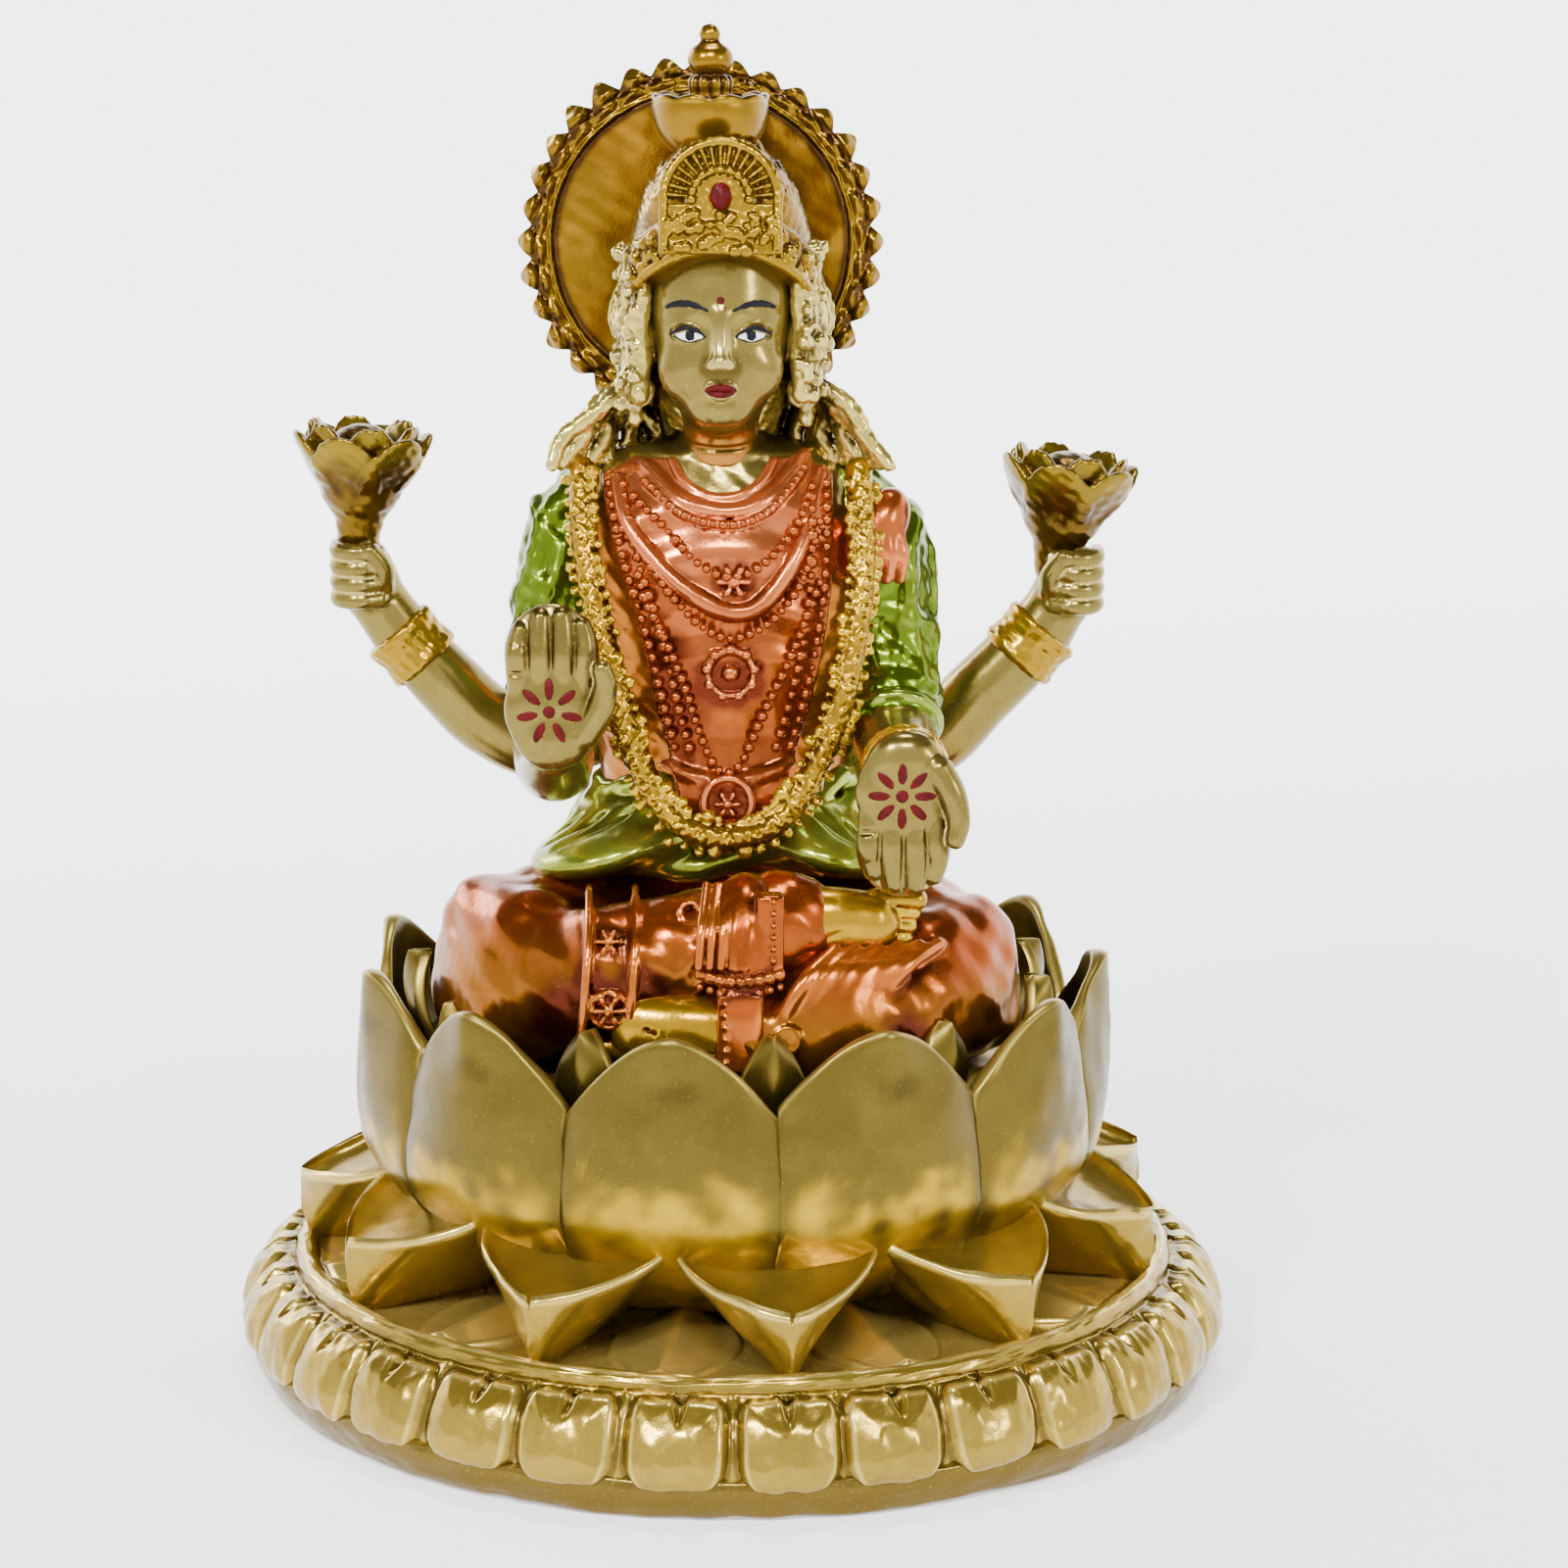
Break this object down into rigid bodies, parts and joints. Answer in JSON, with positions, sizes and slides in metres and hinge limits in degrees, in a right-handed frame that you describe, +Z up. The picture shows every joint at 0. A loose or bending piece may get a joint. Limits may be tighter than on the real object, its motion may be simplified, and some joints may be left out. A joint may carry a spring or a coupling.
{
  "type": "hindu deity statuette",
  "caption": "Seated four-armed deity statuette in a lotus cup on a round petalled plinth, with a sun-disc halo, crown and painted robes.",
  "frame": {"origin": "centre of the plinth's flat underside", "axes": "+Z up through the crown, the figure faces -Y, and its own left side is +X"},
  "size_m": [0.0662, 0.0662, 0.088],
  "materials": {
    "champagne_gold": "satin metallic paint",
    "skin_gold": "satin metallic paint",
    "rich_gold": "satin metallic paint",
    "pale_gold": "satin metallic paint",
    "copper_paint": "glossy metallic paint",
    "rose_copper_paint": "glossy metallic paint",
    "leaf_green_paint": "glossy metallic paint",
    "red_paint": "gloss paint"
  },
  "bodies": {
    "root": {"base_petal_band": "champagne_gold", "base_plinth": "champagne_gold", "blouse_waist": "leaf_green_paint", "chest_panel": "rose_copper_paint", "crown": "rich_gold", "crown_gem": "red_paint", "crown_plaque": "rich_gold", "front_left_arm": "skin_gold", "front_left_bangle": "rich_gold", "front_left_hand": "skin_gold", "front_right_arm": "skin_gold", "front_right_hand": "skin_gold", "hair": "pale_gold", "halo_disc": "rich_gold", "halo_rim": "rich_gold", "head": "skin_gold", "kalasha_finial": "rich_gold", "left_foot": "skin_gold", "left_leg": "copper_paint", "left_sleeve": "leaf_green_paint", "lotus_cup_petal_01": "champagne_gold", "lotus_cup_petal_02": "champagne_gold", "lotus_cup_petal_03": "champagne_gold", "lotus_cup_petal_04": "champagne_gold", "lotus_cup_petal_05": "champagne_gold", "lotus_cup_petal_06": "champagne_gold", "lotus_cup_petal_07": "champagne_gold", "lotus_cup_petal_08": "champagne_gold", "lotus_cup_petal_09": "champagne_gold", "lotus_cup_petal_10": "champagne_gold", "lotus_cup_petal_11": "champagne_gold", "lotus_ground_petals": "champagne_gold", "lotus_inner_petals": "champagne_gold", "lotus_seat": "champagne_gold", "lotus_spread_petal_01": "champagne_gold", "lotus_spread_petal_02": "champagne_gold", "lotus_spread_petal_03": "champagne_gold", "lotus_spread_petal_04": "champagne_gold", "lotus_spread_petal_05": "champagne_gold", "lotus_spread_petal_06": "champagne_gold", "lotus_spread_petal_07": "champagne_gold", "lotus_spread_petal_08": "champagne_gold", "lotus_spread_petal_09": "champagne_gold", "lotus_spread_petal_10": "champagne_gold", "lotus_spread_petal_11": "champagne_gold", "necklaces": "rose_copper_paint", "rear_left_arm": "skin_gold", "rear_left_bangle": "rich_gold", "rear_left_lotus": "rich_gold", "rear_right_arm": "skin_gold", "rear_right_bangle": "rich_gold", "rear_right_lotus": "rich_gold", "right_foot": "skin_gold", "right_leg": "copper_paint", "right_sleeve": "leaf_green_paint", "saree_pleat": "copper_paint", "shawl_fold": "rose_copper_paint", "shoulder_garland": "rich_gold", "skirt_hips": "copper_paint", "torso": "skin_gold"}
  },
  "joints": []
}
